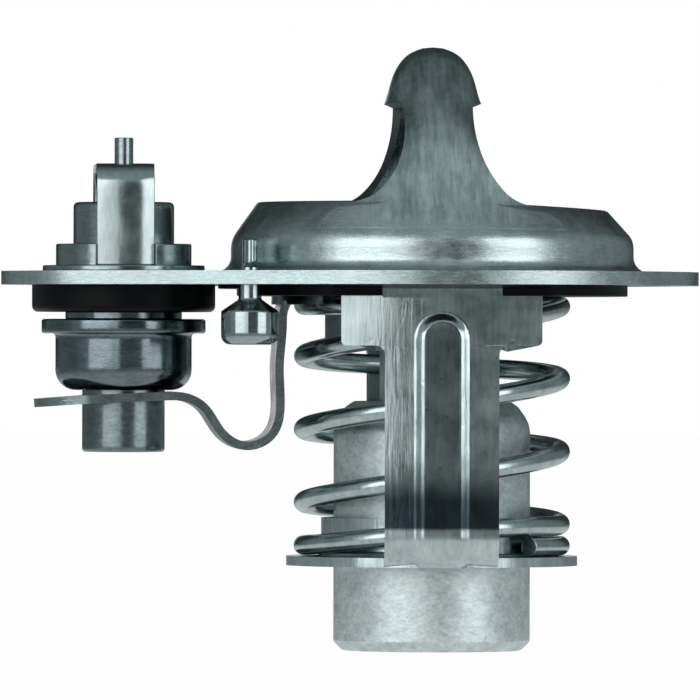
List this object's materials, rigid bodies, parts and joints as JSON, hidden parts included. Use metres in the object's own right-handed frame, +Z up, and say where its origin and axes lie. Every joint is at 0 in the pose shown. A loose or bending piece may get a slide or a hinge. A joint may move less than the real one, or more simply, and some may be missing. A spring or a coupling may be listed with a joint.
{
  "type": "engine thermostat",
  "caption": "Dual wax engine thermostat: teardrop flange with arched bridge, coil-sprung main valve below, small leaf-sprung sub valve beside it, and a loose bleed pin.",
  "frame": {"origin": "on the main valve's axis, in the plane of the flange's clamped underside", "axes": "+Z up along the main valve's axis out of the bridge's top, +X away from the sub valve"},
  "size_m": [0.0707, 0.054, 0.061],
  "materials": {
    "plated_steel": "satin",
    "spring_steel": "bright",
    "cup_metal": "satin",
    "dark_metal": "dark glossy",
    "black_rubber": "matte",
    "wax": "matte"
  },
  "bodies": {
    "frame": {"flange_and_bridge": "plated_steel", "seat_ring": "black_rubber", "lower_frame": "plated_steel", "main_spring": "spring_steel", "leaf_spring": "spring_steel", "main_piston": "spring_steel", "sub_bridge": "plated_steel", "sub_seat_collar": "plated_steel", "sub_piston": "spring_steel"},
    "main_valve": {"main_guide": "cup_metal", "main_wax_cup": "cup_metal", "main_diaphragm": "black_rubber", "main_wax": "wax", "main_piston_seal": "black_rubber", "main_valve_disc": "plated_steel", "main_valve_seal": "black_rubber", "main_guide_washer": "plated_steel", "valve_retaining_ring": "spring_steel"},
    "sub_valve": {"sub_guide": "cup_metal", "sub_valve_rubber": "black_rubber", "sub_bell": "dark_metal", "sub_wax_cup": "cup_metal", "sub_wax": "wax", "sub_diaphragm": "black_rubber", "sub_piston_seal": "black_rubber"},
    "bleed_pin": {"jiggle_pin": "plated_steel"}
  },
  "joints": [
    {"name": "main_valve_lift", "type": "slide", "parent": "frame", "child": "main_valve", "axis": [0, 0, -1], "range_m": [0, 0.008], "stiffness_N_per_m": 3000, "springref_m": -0.003, "deforming": ["main_spring"]},
    {"name": "sub_valve_lift", "type": "slide", "parent": "frame", "child": "sub_valve", "axis": [0, 0, -1], "range_m": [0, 0.0015], "stiffness_N_per_m": 400, "springref_m": -0.003, "deforming": ["leaf_spring"]},
    {"name": "bleed_pin_lift", "type": "slide", "parent": "frame", "child": "bleed_pin", "axis": [0, 0, 1], "range_m": [0, 0.0014]}
  ]
}
